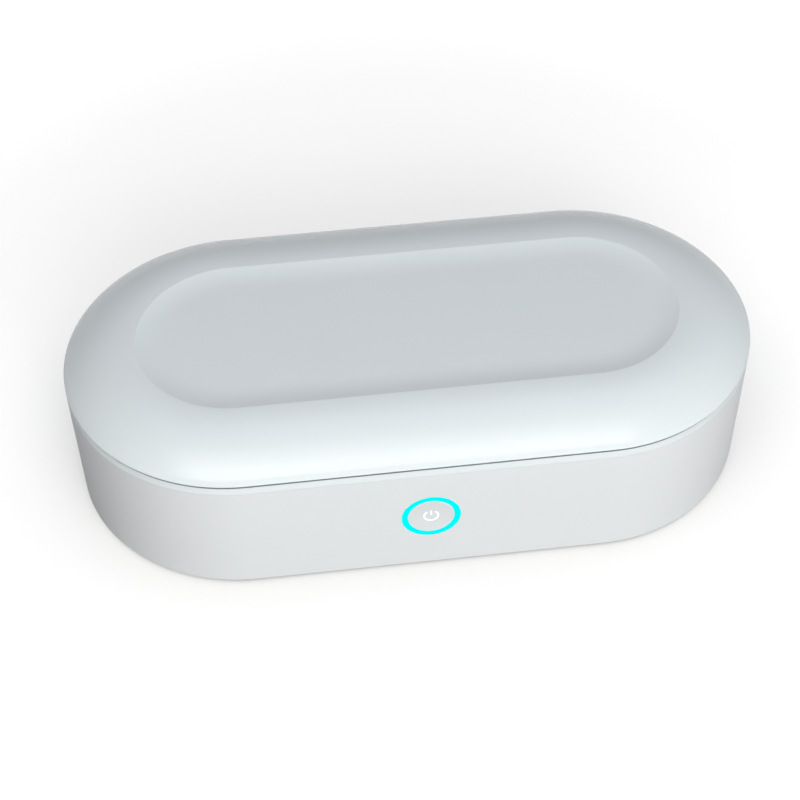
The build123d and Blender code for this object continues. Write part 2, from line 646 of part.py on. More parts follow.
with BuildPart() as lid_shell:
    carry_round(lid_section.sketch)
    # hinge arms: a barrel round the pin and a web up into the shoulder
    arm_in = HALF - ARM_INSET
    arm_out = HALF - HINGE_INSET + KNUCKLE_R
    arm_top_out = (arm_out, LIP_Z)
    arm_top_mid = (HALF - LID_WALL, dome_z(LID_WALL, LID_WALL / 2))
    arm_top_in = (arm_in, dome_z(ARM_INSET, LID_WALL / 2))
    for x in HINGE_XS:
        with BuildSketch(Plane.YZ.offset(x)):
            Polygon((arm_in, HINGE_Z), (arm_out, HINGE_Z), arm_top_out, arm_top_mid, arm_top_in, align=None)
            with Locations((HINGE_Y, HINGE_Z)):
                Circle(KNUCKLE_R)
        extrude(amount=ARM_WIDTH / 2, both=True)
        with BuildSketch(Plane.YZ.offset(x)):
            with Locations((HINGE_Y, HINGE_Z)):
                Circle(PIN_R + PIN_FIT)
        extrude(amount=POCKET_WIDTH / 2, both=True, mode=Mode.SUBTRACT)
    # bosses for the liner screws, and pads that the lamp board is bonded to
    discs(LID_BOSS_POINTS, LID_BOSS_R, LINER_TOP, LID_UNDER - LINER_TOP)
    bore_depth = LID_UNDER + LID_BITE - LINER_TOP
    discs(LID_BOSS_POINTS, LID_SHANK_R + PRESS_GAP, LINER_TOP, bore_depth, Mode.SUBTRACT)
    blocks(lid_pad_points, PAD_SIZE, PAD_SIZE, LID_BOARD_TOP, LID_UNDER - LID_BOARD_TOP)
save("lid_shell", lid_shell.part)

# ---------------------------------------------------------------- lid liner
liner_depth = LID_WALL + LINER_GAP
rim_inset = dome_inset(LINER_RIM_Z, liner_depth)
top_inset = dome_inset(LINER_TOP, liner_depth)
groove_out = HALF - SEAL_INSET + SEAT_FIT
groove_in = HALF - SEAL_INSET - SEAL_WIDTH - SEAT_FIT
with BuildSketch(SECTION) as liner_section:
    with BuildLine():
        Polyline(
            (HALF - top_inset, LINER_TOP),
            (0, LINER_TOP),
            (0, CEILING_Z),
            (HALF - TRAY_INSET - TRAY_DRAFT, CEILING_Z),
            (HALF - TRAY_INSET, LINER_RIM_Z),
            (groove_in, LINER_RIM_Z),
            (groove_in, SEAL_TOP),
            (groove_out, SEAL_TOP),
            (groove_out, LINER_RIM_Z),
            (HALF - rim_inset, LINER_RIM_Z),
            close=True,
        )
    make_face()

lid_lamp_points = [(x, 0) for x in LAMP_XS]
magnet_y = MAGNET_INSET + MAGNET_WIDTH / 2 - HALF
magnet_points = [(-MAGNET_X, magnet_y), (MAGNET_X, magnet_y)]
with BuildPart() as lid_liner:
    carry_round(liner_section.sketch)
    # stepped holes for the windows, and holes for the screws
    discs(lid_lamp_points, WINDOW_R - WINDOW_LEDGE, CEILING_Z, LINER_WALL, Mode.SUBTRACT)
    discs(lid_lamp_points, WINDOW_R + SEAT_FIT, LINER_TOP, -WINDOW, Mode.SUBTRACT)
    discs(LID_BOSS_POINTS, LID_SHANK_R + SEAT_FIT, CEILING_Z, LINER_WALL, Mode.SUBTRACT)
    # pockets for the magnets, open upwards
    pocket = (MAGNET_LENGTH + 2 * SEAT_FIT, MAGNET_WIDTH + 2 * SEAT_FIT)
    blocks(magnet_points, *pocket, MAGNET_Z, LINER_TOP - MAGNET_Z, Mode.SUBTRACT)
    # room for the hinge arms
    arm_room = ARM_INSET + AIR
    arm_points = [(x, HALF - arm_room / 2) for x in HINGE_XS]
    blocks(arm_points, ARM_WIDTH + 2 * AIR, arm_room, LINER_RIM_Z, LINER_TOP - LINER_RIM_Z, Mode.SUBTRACT)
save("lid_liner", lid_liner.part)

with BuildPart() as lid_seal:
    extrude(stadium(SEAL_INSET, SEAL_Z), amount=SEAL_TOP - SEAL_Z)
    extrude(stadium(SEAL_INSET + SEAL_WIDTH, SEAL_Z), amount=SEAL_TOP - SEAL_Z, mode=Mode.SUBTRACT)
    chamfer(lid_seal.faces().sort_by(Axis.Z)[0].edges(), SEAL_EDGE)
save("lid_seal", lid_seal.part)

with BuildPart() as lid_magnets:
    blocks(magnet_points, MAGNET_LENGTH, MAGNET_WIDTH, MAGNET_Z, MAGNET_HEIGHT)
save("lid_magnets", lid_magnets.part)

boss_bite = LINER_WALL + LID_UNDER - LINER_TOP
save("lid_screws", screws(LID_BOSS_POINTS, CEILING_Z, LID_HEAD_R, LID_HEAD, LID_SHANK_R, boss_bite))
save("lid_led_board", lamp_board(LID_BOARD_LENGTH, LID_BOARD_WIDTH, LID_BOARD_UNDER))
save("lid_uvc_leds", lamps(LAMP_XS, LID_BOARD_UNDER, -UVC_HEIGHT))
save("lid_windows", windows(LAMP_XS, LINER_TOP - WINDOW))
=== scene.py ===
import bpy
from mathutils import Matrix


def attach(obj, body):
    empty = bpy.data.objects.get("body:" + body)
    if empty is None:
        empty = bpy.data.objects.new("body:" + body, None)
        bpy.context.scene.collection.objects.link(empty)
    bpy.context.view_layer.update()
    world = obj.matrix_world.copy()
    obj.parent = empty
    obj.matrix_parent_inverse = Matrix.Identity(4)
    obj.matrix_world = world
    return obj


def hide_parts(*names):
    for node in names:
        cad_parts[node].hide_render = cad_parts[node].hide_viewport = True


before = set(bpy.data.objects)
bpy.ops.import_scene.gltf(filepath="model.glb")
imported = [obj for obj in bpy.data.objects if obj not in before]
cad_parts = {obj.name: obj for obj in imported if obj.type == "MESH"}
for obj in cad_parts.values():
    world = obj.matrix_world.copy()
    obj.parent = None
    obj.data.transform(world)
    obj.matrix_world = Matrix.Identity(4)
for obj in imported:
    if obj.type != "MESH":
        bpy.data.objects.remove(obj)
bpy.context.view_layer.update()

import math
import bmesh
import bpy
from mathutils import Matrix, Vector

# Millimetres and degrees, front at -Y; meshes are scaled to metres where they are made.
# Insets are measured inwards from the outer wall.
MM = 0.001
HALF, STRAIGHT = 54.5, 111.0  # half the width, and the length of the straight walls
FIT = 0.15  # between a piece and its seat

# Levels above the table.
BOTTOM, COVER_TOP, TUB_UNDER, FLOOR = 1.0, 3.2, 28.0, 29.6
FLANGE, RIM, LID, LIP = 44.9, 46.5, 47.1, 47.7
LINER_RIM, SEAL_SEAT, CEILING, LINER_TOP = 47.6, 48.1, 49.2, 50.8
LID_UNDER, RECESS, TOP = 53.6, 55.6, 56.6
BEVEL, LAND = 44.0, RIM - 0.55  # foot of the bevel round the rim, and the floor of the parting groove behind it

# Walls and insets.
COVER_SEAT, RIM_SEAT, WALL, LID_WALL, BOTTOM_CHAMFER = 1.1, 1.4, 2.2, 2.0, 0.6
CHAMBER, CHAMBER_R, TUB_WALL, TUB_CHAMFER, MOUTH_EDGE = 8.0, 7.5, 1.6, 4.5, 0.6
SEAL_OUTSIDE, SEAL_INSIDE, LINER_DEPTH = 5.8, 7.4, 2.3

# The shoulder and the slope of the recess are arcs.
BORDER, SLOPE = 23.5, 9.0
DOME_RISE = TOP - LIP
DOME_R = (BORDER ** 2 + DOME_RISE ** 2) / (2 * DOME_RISE)
DOME_CENTRE = TOP - DOME_R
SLOPE_R = (SLOPE ** 2 + (TOP - RECESS) ** 2) / (2 * (TOP - RECESS))
DOME_STEPS, SLOPE_STEPS = 28, 9

# Hinges: the arms turn in pockets that are cut into blocks behind the rear wall.
HINGE_Y, HINGE_Z, KNUCKLE = 52.0, 41.5, 2.4
ARM, POCKET, BLOCK = 8.7, 9.0, 13.0  # half widths
POCKET_FRONT, POCKET_FLOOR, POCKET_WALL = 49.3, 38.1, 1.2
BLOCK_FRONT, BLOCK_BACK = POCKET_FRONT - POCKET_WALL, HALF - 1.35

# Button, light ring and socket.
RING_Z, RING_OUT, RING_IN, BUTTON, RING_BORE = 24.3, 9.2, 7.4, 7.28, 9.28
GUIDE_DEPTH, WIDE_BORE, RING_DEPTH = 2.6, 8.45, 6.1
USB_Z, USB_SIDE, USB_R = 11.43, 2.84, 1.88
UP, INWARDS = (0, 0, 1), (0, 1, 0)

# Round windows, and what stands in rows along X.
WINDOW_R, WINDOW_HOLE, WINDOW = 5.0, 4.4, 0.8
HINGES, RIBS, BASE_LAMPS, LID_LAMPS = (-32, 32), (-60, -20, 20, 60), (-40, 40), (-66, -22, 22, 66)


# ------------------------------------------------------------------ materials
def bare_tree(owner):
    owner.use_nodes = True
    owner.node_tree.nodes.clear()
    return owner.node_tree


def node(tree, kind, *ordered, **named):
    """A shader node. Inputs go by place or by name: the output of another node is linked, anything else is set."""
    made = tree.nodes.new("ShaderNode" + kind)
    given = [*enumerate(ordered), *((key.replace("_", " "), value) for key, value in named.items())]
    for key, value in given:
        if isinstance(value, bpy.types.NodeSocket):
            tree.links.new(value, made.inputs[key])
        else:
            made.inputs[key].default_value = value
    return made


def noise(tree, scale, detail=3.0, stretch=(1, 1, 1)):
    coords = node(tree, "TexCoord")
    mapping = node(tree, "Mapping", Vector=coords.outputs["Object"], Scale=stretch)
    return node(tree, "TexNoise", Vector=mapping.outputs[0], Scale=scale, Detail=detail).outputs[0]


def spread(tree, value, low, high):
    """Spreads the middle range of a noise from low to high."""
    return node(tree, "MapRange", Value=value, From_Min=0.3, From_Max=0.7, To_Min=low, To_Max=high).outputs[0]


def tint(tree, value, dark, light):
    """Turns a noise into a colour between dark and light."""
    ramp = node(tree, "ValToRGB", value)
    for stop, position, color in zip(ramp.color_ramp.elements, (0.35, 0.65), (dark, light)):
        stop.position = position
        stop.color = (*color, 1)
    return ramp.outputs[0]


def finish_of(name, color, rough, vary=0.02, rough_vary=0.03, mottle=40, grain=2500, bump=0.02, depth=0.00002,
              bevel=0.0, metallic=0.0, stretch=(1, 1, 1), **sockets):
    """A surface with slow mottling in its colour, uneven gloss and a fine grain."""
    mat = bpy.data.materials.new(name)
    tree = bare_tree(mat)
    dark = tuple(c * (1 - vary) for c in color)
    light = tuple(min(1.0, c * (1 + vary)) for c in color)
    mottled = tint(tree, noise(tree, mottle, stretch=stretch), dark, light)
    uneven = noise(tree, mottle * 3.1, 4.0, stretch)
    gloss = spread(tree, uneven, max(0.02, rough - rough_vary), rough + rough_vary)
    relief = node(tree, "Bump", Strength=bump, Distance=depth, Height=noise(tree, grain, 2.0, stretch))
    if bevel:
        soft = node(tree, "Bevel", Radius=bevel * MM)
        soft.samples = 4
        tree.links.new(soft.outputs[0], relief.inputs["Normal"])
    shader = node(tree, "BsdfPrincipled", Base_Color=mottled, Roughness=gloss, Metallic=metallic,
                  Normal=relief.outputs[0], **sockets)
    node(tree, "OutputMaterial", shader.outputs[0])
    return mat


def lin(*levels):
    """Linear light from display levels of 0 to 255."""
    return tuple(c / 12.92 if c <= 0.04045 else ((c + 0.055) / 1.055) ** 2.4 for c in (v / 255 for v in levels))


lid_white = finish_of("lid_gloss_white", lin(223, 230, 233), 0.2, vary=0.004, rough_vary=0.015, bump=0.01,
                      Specular_IOR_Level=0.33)
base_white = finish_of("base_gloss_white", lin(232, 233, 235), 0.65, vary=0.004, bump=0.03, bevel=0.2,
                       Specular_IOR_Level=0.25)
rim_white = finish_of("rim_gloss_white", lin(222, 227, 230), 0.5, vary=0.004, rough_vary=0.02, bump=0.015,
                      Specular_IOR_Level=0.3)
button_white = finish_of("button_satin_white", lin(227, 228, 230), 0.45, vary=0.004, bump=0.03,
                         Specular_IOR_Level=0.3)
# Printed white, with a painted glow: a weak emission keeps the power sign bright though it is no lamp.
glyph_print_glow = finish_of("glyph_print_painted_glow", (0.95, 0.96, 0.97), 0.4, vary=0.01, bump=0.05,
                        Emission_Color=(1, 1, 1, 1), Emission_Strength=0.3)
cover_white = finish_of("cover_textured_white", lin(222, 223, 225), 0.5, vary=0.01, grain=1400, bump=0.25,
                        depth=0.00006, bevel=0.25)
# Painted shade: a dark grey laid on the faces in the parting groove between base and lid, where the gap lies in shade.
parting_painted_shade = finish_of("parting_groove_painted_shade", (0.36, 0.375, 0.385), 0.6, grain=900, bump=0.1, depth=0.00003)

metallised = dict(vary=0.01, rough_vary=0.015, mottle=25, grain=180, bump=0.012, depth=0.0001, metallic=1.0)
mirror = finish_of("metallised_chamber", (0.44, 0.45, 0.46), 0.38, **metallised)
liner_mirror = finish_of("metallised_liner", (0.49, 0.50, 0.51), 0.31, **metallised)

silicone = finish_of("seal_silicone_grey", (0.48, 0.50, 0.52), 0.55, vary=0.03, grain=900, bump=0.15, depth=0.00004)
rubber = finish_of("foot_rubber_grey", (0.36, 0.37, 0.38), 0.75, vary=0.06, grain=1100, bump=0.4, depth=0.00008)
screw_steel = finish_of("screw_zinc", (0.58, 0.58, 0.57), 0.3, vary=0.06, rough_vary=0.08, mottle=300, bump=0.1,
                        metallic=1.0)
pin_steel = finish_of("pin_ground_steel", (0.66, 0.66, 0.67), 0.22, vary=0.03, mottle=200, bump=0.1, metallic=1.0,
                      stretch=(1, 12, 12))
nickel = finish_of("magnet_nickel", (0.66, 0.64, 0.60), 0.15, metallic=1.0)
socket_steel = finish_of("socket_plated_steel", (0.62, 0.62, 0.63), 0.23, vary=0.03, mottle=300, bump=0.1,
                         metallic=1.0, stretch=(1, 0.2, 1))
gold = finish_of("contact_gold", (0.83, 0.60, 0.26), 0.25, vary=0.03, mottle=400, metallic=1.0)
dark_nylon = finish_of("socket_tongue_black", (0.02, 0.02, 0.022), 0.45, vary=0.1, bump=0.1)
board_green = finish_of("board_green_mask", (0.012, 0.10, 0.045), 0.3, vary=0.12, mottle=200, grain=800, bump=0.2,
                        depth=0.00003)
board_metal = finish_of("board_white_mask", (0.80, 0.80, 0.78), 0.35, mottle=200, bump=0.1)
ceramic = finish_of("lamp_alumina", (0.84, 0.82, 0.75), 0.4, mottle=500, bump=0.15)
cavity = finish_of("lamp_cavity_grey", (0.35, 0.35, 0.37), 0.3, vary=0.05, mottle=500, metallic=0.6)
die = finish_of("lamp_die_violet", (0.13, 0.08, 0.32), 0.12, vary=0.05, mottle=900, metallic=0.3)
chip_black = finish_of("chip_black_epoxy", (0.018, 0.018, 0.02), 0.5, vary=0.1, grain=1600, bump=0.3)
ferrite = finish_of("coil_ferrite", (0.06, 0.06, 0.065), 0.6, vary=0.1, grain=1200, bump=0.4, depth=0.00005)
can_metal = finish_of("capacitor_can", (0.72, 0.72, 0.73), 0.28, vary=0.03, mottle=200, metallic=1.0)
nylon = finish_of("connector_ivory", (0.76, 0.72, 0.60), 0.45, vary=0.03, bump=0.1)
led_body = finish_of("ring_led_body", (0.82, 0.82, 0.74), 0.35, mottle=400)
quartz = finish_of("quartz_polished", (0.97, 0.98, 1.0), 0.04, vary=0.004, rough_vary=0.015, bump=0.0,
                   Transmission_Weight=1.0, IOR=1.46)

# The ring glows evenly, a little less bright in its fine moulding grain.
ring_glow = bpy.data.materials.new("light_ring_cyan")
tree = bare_tree(ring_glow)
cyan = tint(tree, noise(tree, 900), (0.0, 0.985, 0.985), (0.0, 1.0, 1.0))
shader = node(tree, "BsdfPrincipled", Base_Color=(0.0, 0.02, 0.02, 1), Roughness=0.35, Specular_IOR_Level=0.0,
              Emission_Color=cyan, Emission_Strength=1.0)
node(tree, "OutputMaterial", shader.outputs[0])


# ------------------------------------------------------------------ mesh helpers
def face_outwards(mesh, merge=0.0):
    """Turns the faces of a mesh outwards, after joining the points that lie closer than merge."""
    bm = bmesh.new()
    bm.from_mesh(mesh)
    if merge:
        bmesh.ops.remove_doubles(bm, verts=bm.verts, dist=merge)
    bmesh.ops.recalc_face_normals(bm, faces=bm.faces)
    bm.to_mesh(mesh)
    bm.free()


def make(name, verts, faces, materials, body, zones=(), turn=True):
    """A mesh object from millimetre points, riding on a body. Zones say which of the materials each face has."""
    mesh = bpy.data.meshes.new(name)
    mesh.from_pydata([tuple(c * MM for c in v) for v in verts], [], faces)
    obj = bpy.data.objects.new(name, mesh)
    bpy.context.scene.collection.objects.link(obj)
    for mat in materials:
        mesh.materials.append(mat)
    for face, zone in zip(mesh.polygons, zones):
        face.material_index = zone
    if turn:
        face_outwards(mesh)
    if body:
        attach(obj, body)
    return obj


def smooth(obj, angle=30):
    obj.data.shade_smooth()
    obj.data.set_sharp_from_angle(angle=math.radians(angle))


def rounded(corners, closed=False, steps=4, hold=0.15):
    """Rounds an outline whose corners are (a, b, radius).

    A point just beyond each end of an arc, at the distance hold, keeps the flats flat in shading.
    """
    pts, n = [], len(corners)
    for i, (a, b, r) in enumerate(corners):
        if r <= 0 or (not closed and i in (0, n - 1)):
            pts.append((a, b))
            continue
        here = Vector((a, b))
        before = Vector(corners[i - 1][:2]) - here
        after = Vector(corners[(i + 1) % n][:2]) - here
        u, v = before.normalized(), after.normalized()
        half = u.angle(v) / 2
        t = r / math.tan(half)
        centre = here + (u + v).normalized() * (r / math.sin(half))
        start, end = here + u * t - centre, here + v * t - centre
        if before.length > t + 2 * hold:
            pts.append(tuple(here + u * (t + hold)))
        whole = start.angle(end)
        for k in range(steps + 1):
            f = k / steps
            arm = (start * math.sin((1 - f) * whole) + end * math.sin(f * whole)) / math.sin(whole)
            pts.append(tuple(centre + arm))
        if after.length > t + 2 * hold:
            pts.append(tuple(here + v * (t + hold)))
    return pts


def ring(inset, z, end_steps=72, side_steps=24):
    """Points round the stadium outline, moved in by the inset."""
    r, pts = HALF - inset, []
    for side in (1, -1):
        for k in range(end_steps):
            a = math.pi * (k / end_steps - 0.5)
            pts.append((side * (STRAIGHT / 2 + r * math.cos(a)), side * r * math.sin(a), z))
        for k in range(side_steps):
            pts.append((side * (STRAIGHT / 2 - STRAIGHT * k / side_steps), side * r, z))
    return pts


def carried(name, outline, materials, body, closed=True, zone=lambda a, b: 0):
    """Carries an outline of (inset, z) round the stadium; an open outline is capped at both ends."""
    verts, faces, zones = [], [], []
    count = len(ring(0, 0))
    for inset, z in outline:
        verts += ring(inset, z)
    rows = len(outline)
    for i in range(rows if closed else rows - 1):
        j = (i + 1) % rows
        for k in range(count):
            m = (k + 1) % count
            faces.append((i * count + k, i * count + m, j * count + m, j * count + k))
            zones.append(zone(outline[i], outline[j]))
    if not closed:
        for row in (0, rows - 1):
            faces.append(tuple(row * count + k for k in range(count)))
            zones.append(zone(outline[row], outline[row]))
    return make(name, verts, faces, materials, body, zones)


def turned(name, outline, centre, axis, materials, body, segments=72):
    """Turns an outline of (radius, height) round an axis; radius 0 closes it on the axis."""
    up = Vector(axis).normalized()
    side = up.orthogonal().normalized()
    other = up.cross(side)
    base = Vector(centre)
    verts, faces, rows = [], [], []
    for r, h in outline:
        if r < 1e-6:
            rows.append([len(verts)] * segments)
            verts.append(tuple(base + up * h))
        else:
            rows.append(list(range(len(verts), len(verts) + segments)))
            for k in range(segments):
                a = 2 * math.pi * k / segments
                verts.append(tuple(base + up * h + side * (r * math.cos(a)) + other * (r * math.sin(a))))
    for low, high in zip(rows, rows[1:]):
        for k in range(segments):
            m = (k + 1) % segments
            face = tuple(dict.fromkeys((low[k], low[m], high[m], high[k])))
            if len(face) > 2:
                faces.append(face)
    obj = make(name, verts, faces, materials, body)
    smooth(obj)
    return obj


def block(x0, x1, y0, y1, z0, z1):
    verts = [(x, y, z) for x in (x0, x1) for y in (y0, y1) for z in (z0, z1)]
    faces = [(0, 1, 3, 2), (4, 6, 7, 5), (0, 4, 5, 1), (2, 3, 7, 6), (0, 2, 6, 4), (1, 5, 7, 3)]
    return verts, faces


def prism(one_end, other_end):
    """A shape between two ends with as many points each."""
    n = len(one_end)
    sides = [(i, (i + 1) % n, n + (i + 1) % n, n + i) for i in range(n)]
    return one_end + other_end, [tuple(range(n)), tuple(range(n, 2 * n))] + sides


def joined(name, parts, materials, body):
    """One object from several (verts, faces) shapes."""
    verts, faces = [], []
    for v, f in parts:
        base = len(verts)
        verts += v
        faces += [tuple(i + base for i in face) for face in f]
    return make(name, verts, faces, materials, body)


def cutter(shape):
    return make("cutter", *shape, [], None)


def round_cutter(centre, axis, radius, depth, segments=96):
    return turned("cutter", [(0, 0), (radius, 0), (radius, depth), (0, depth)], centre, axis, [], None, segments)


def apply_modifiers(obj):
    graph = bpy.context.evaluated_depsgraph_get()
    mesh = bpy.data.meshes.new_from_object(obj.evaluated_get(graph))
    obj.modifiers.clear()
    old, obj.data = obj.data, mesh
    bpy.data.meshes.remove(old)


def carve(obj, tools, operation="DIFFERENCE"):
    """Applies booleans and removes the tools."""
    for tool in tools:
        mod = obj.modifiers.new("cut", "BOOLEAN")
        mod.operation = operation
        mod.solver = "EXACT"
        mod.object = tool
    apply_modifiers(obj)
    for tool in tools:
        bpy.data.objects.remove(tool)


def softened(obj, width, angle=40):
    """Rounds every sharp edge of a small piece."""
    mod = obj.modifiers.new("soft edges", "BEVEL")
    mod.width = width * MM
    mod.segments = 2
    mod.limit_method = "ANGLE"
    mod.angle_limit = math.radians(angle)
    apply_modifiers(obj)
    smooth(obj, 35)


def quarters(x, y):
    """Four points, front left, front right, rear left and rear right."""
    return [(sx * x, sy * y) for sy in (-1, 1) for sx in (-1, 1)]


def dome_z(inset, depth=0.0):
    """Height of the shoulder at an inset, or of the surface that lies the given depth under it."""
    return DOME_CENTRE + math.sqrt((DOME_R - depth) ** 2 - (BORDER - inset) ** 2)


def dome_inset(z, depth=0.0):
    """Inset at which the shoulder, or the surface the given depth under it, reaches height z."""
    return BORDER - math.sqrt((DOME_R - depth) ** 2 - (z - DOME_CENTRE) ** 2)


# ------------------------------------------------------------------ lid
corners = [(BORDER + SLOPE + 0.5, RECESS, 0)]
for k in range(SLOPE_STEPS):
    a = math.asin(SLOPE / SLOPE_R) * k / SLOPE_STEPS
    corners.append((BORDER + SLOPE - SLOPE_R * math.sin(a), RECESS + SLOPE_R * (1 - math.cos(a)), 0))
corners.append((BORDER, TOP, 0.2))
for k in range(1, DOME_STEPS):
    a = math.asin(BORDER / DOME_R) * k / DOME_STEPS
    corners.append((BORDER - DOME_R * math.sin(a), TOP - DOME_R * (1 - math.cos(a)), 0))
inner_edge, under = dome_inset(LID, LID_WALL), dome_inset(LID_UNDER, LID_WALL)
middle = (inner_edge + under) / 2
corners += [(0, LID + 0.3, 0.12), (0.25, LID, 0.08), (inner_edge, LID, 0.1), (middle, dome_z(middle, LID_WALL), 0),
            (under, LID_UNDER, 0)]
lid_form = carried("lid_shell_form", rounded(corners, hold=0.05), [lid_white], "lid", closed=False)
smooth(lid_form, 35)
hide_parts("lid_shell")

# Hinge arms, one behind each pocket: a knuckle round the pin, and a web that ends inside the shoulder.
web_front, web_back = HINGE_Y - KNUCKLE, HINGE_Y + KNUCKLE
outline = [(web_front, dome_z(HALF - web_front, 1.0)), (web_front, HINGE_Z)]
for k in range(1, 16):
    a = math.pi * (1 + k / 16)
    outline.append((HINGE_Y + KNUCKLE * math.cos(a), HINGE_Z + KNUCKLE * math.sin(a)))
outline += [(web_back, HINGE_Z), (web_back, LIP), (HALF - 2.0, dome_z(2.0, 1.0))]
arms = [prism([(x - ARM, y, z) for y, z in outline], [(x + ARM, y, z) for y, z in outline]) for x in HINGES]
arm_form = joined("lid_hinge_arms", arms, [lid_white], "lid")
softened(arm_form, 0.25)


# ------------------------------------------------------------------ base housing
def rim_zone(a, b):
    """Base white (0), the lid's tone (1) on the bevel round the rim, and painted shade (2), a dark grey, in the parting
    groove behind it.
    """
    if min(a[0], b[0]) > 0.7 and min(a[1], b[1]) > LAND - 0.1:
        return 2
    return 1 if min(a[1], b[1]) > BEVEL - 0.55 else 0


corners = [(COVER_SEAT, BOTTOM, 0.1), (BOTTOM_CHAMFER, BOTTOM, 0.35), (0, BOTTOM + BOTTOM_CHAMFER, 0.35),
           (0, BEVEL, 2.4), (0.75, LAND, 0.12), (RIM_SEAT, LAND, 0.08), (RIM_SEAT, FLANGE, 0), (WALL, FLANGE, 0),
           (WALL, COVER_TOP, 0), (COVER_SEAT, COVER_TOP, 0)]
base_form = carried("base_housing_form", rounded(corners, closed=True), [base_white, rim_white, parting_painted_shade], "base",
                    zone=rim_zone)
blocks = [cutter(block(x - BLOCK, x + BLOCK, BLOCK_FRONT, BLOCK_BACK, POCKET_FLOOR - POCKET_WALL, RIM))
          for x in HINGES]
carve(base_form, blocks, "UNION")
pockets = [cutter(block(x - POCKET, x + POCKET, POCKET_FRONT, 58, POCKET_FLOOR, 50)) for x in HINGES]
ring_bore = round_cutter((0, -60, RING_Z), INWARDS, RING_BORE, 10)
mouth = []
for k in range(48):
    a = 2 * math.pi * k / 48
    mouth.append((math.copysign(USB_SIDE, math.cos(a)) + USB_R * math.cos(a), USB_Z + USB_R * math.sin(a)))
usb_mouth = cutter(prism([(x, 51, z) for x, z in mouth], [(x, 56, z) for x, z in mouth]))
carve(base_form, pockets + [ring_bore, usb_mouth])
# The tops of the hinge blocks lie in the parting groove, and get its painted shade.
for face in base_form.data.polygons:
    if face.center.y > (HALF - RIM_SEAT) * MM and face.center.z > (LAND + 0.1) * MM:
        face.material_index = 2
smooth(base_form, 25)
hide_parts("base_housing")


# ------------------------------------------------------------------ chamber tub
def tub_zone(a, b):
    """White (0) on the rim, metallised (1) below the mouth, and painted shade (2), a dark grey, on the side that shuts
    the parting groove.
    """
    if max(a[0], b[0]) < 1.6:
        return 2
    return 0 if max(a[0], b[0]) <= CHAMBER - 0.25 and min(a[1], b[1]) > 44 else 1


corners = [(CHAMBER + CHAMBER_R, FLOOR, 0)]
for k in range(1, 13):
    a = math.pi / 2 * k / 12
    corners.append((CHAMBER + CHAMBER_R * (1 - math.sin(a)), FLOOR + CHAMBER_R * (1 - math.cos(a)), 0))
tub_side = CHAMBER - TUB_WALL
corners += [(CHAMBER, RIM - MOUTH_EDGE, 0.3), (CHAMBER - MOUTH_EDGE, RIM, 0.3), (RIM_SEAT + FIT, RIM, 0.1),
            (RIM_SEAT + FIT, FLANGE, 0), (tub_side, FLANGE, 0), (tub_side, TUB_UNDER + TUB_CHAMFER, 0),
            (tub_side + TUB_CHAMFER, TUB_UNDER, 0)]
tub_form = carried("chamber_tub_form", rounded(corners), [base_white, mirror, parting_painted_shade], "base", closed=False,
                   zone=tub_zone)
slots = [cutter(block(x - BLOCK - FIT, x + BLOCK + FIT, BLOCK_FRONT - FIT, 56, 44, 48)) for x in HINGES]
holes = [round_cutter((x, 0, 20), UP, WINDOW_HOLE, 20) for x in BASE_LAMPS]
carve(tub_form, slots + holes)
smooth(tub_form, 25)
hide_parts("chamber_tub")

# Ribs that hold the phone, with drafted sides and ends.
rib_foot, rib_crest, rib_height, rib_end, end_draft = 1.2, 0.66, 3.0, 29, 0.64
section = rounded([(-rib_foot, 0, 0), (-rib_crest, rib_height, 0.45), (rib_crest, rib_height, 0.45), (rib_foot, 0, 0)],
                  hold=0.05)
ribs = []
for x in RIBS:
    ends = [[(x + dx, side * (rib_end - end_draft * dz / rib_height), FLOOR + dz) for dx, dz in section]
            for side in (-1, 1)]
    ribs.append(prism(*ends))
rib_form = joined("chamber_ribs", ribs, [mirror], "base")
softened(rib_form, 0.2, angle=50)

# ------------------------------------------------------------------ liner and seal
rim_inset, top_inset = dome_inset(LINER_RIM, LINER_DEPTH), dome_inset(LINER_TOP, LINER_DEPTH)
corners = [(12, CEILING, 0), (8.9, CEILING, 0.35), (8.4, LINER_RIM, 0.3), (SEAL_INSIDE + FIT, LINER_RIM, 0.1),
           (SEAL_INSIDE + FIT, SEAL_SEAT, 0), (SEAL_OUTSIDE - FIT, SEAL_SEAT, 0), (SEAL_OUTSIDE - FIT, LINER_RIM, 0.1),
           (rim_inset, LINER_RIM, 0.12), (top_inset, LINER_TOP, 0)]
liner_form = carried("lid_liner_form", rounded(corners), [liner_mirror], "lid", closed=False)
rooms = [cutter(block(x - POCKET, x + POCKET, POCKET_FRONT, 56, 47, 52)) for x in HINGES]
holes = [round_cutter((x, 0, 45), UP, WINDOW_HOLE, 10) for x in LID_LAMPS]
carve(liner_form, rooms + holes)
smooth(liner_form, 25)
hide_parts("lid_liner")

seal_lip = RIM + 0.3
corners = [(SEAL_OUTSIDE, SEAL_SEAT, 0), (SEAL_OUTSIDE, seal_lip, 0.55), (SEAL_INSIDE, seal_lip, 0.55),
           (SEAL_INSIDE, SEAL_SEAT, 0)]
seal_form = carried("lid_seal_form", rounded(corners, closed=True, steps=5), [silicone], "lid")
smooth(seal_form, 40)
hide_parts("lid_seal")


# ------------------------------------------------------------------ windows and lamps
def window(name, x, z, body):
    outline = rounded([(0, 0, 0), (WINDOW_R, 0, 0.15), (WINDOW_R, WINDOW, 0.15), (0, WINDOW, 0)], steps=3, hold=0.05)
    obj = turned(name, outline, (x, 0, z), UP, [quartz], body)
    return obj


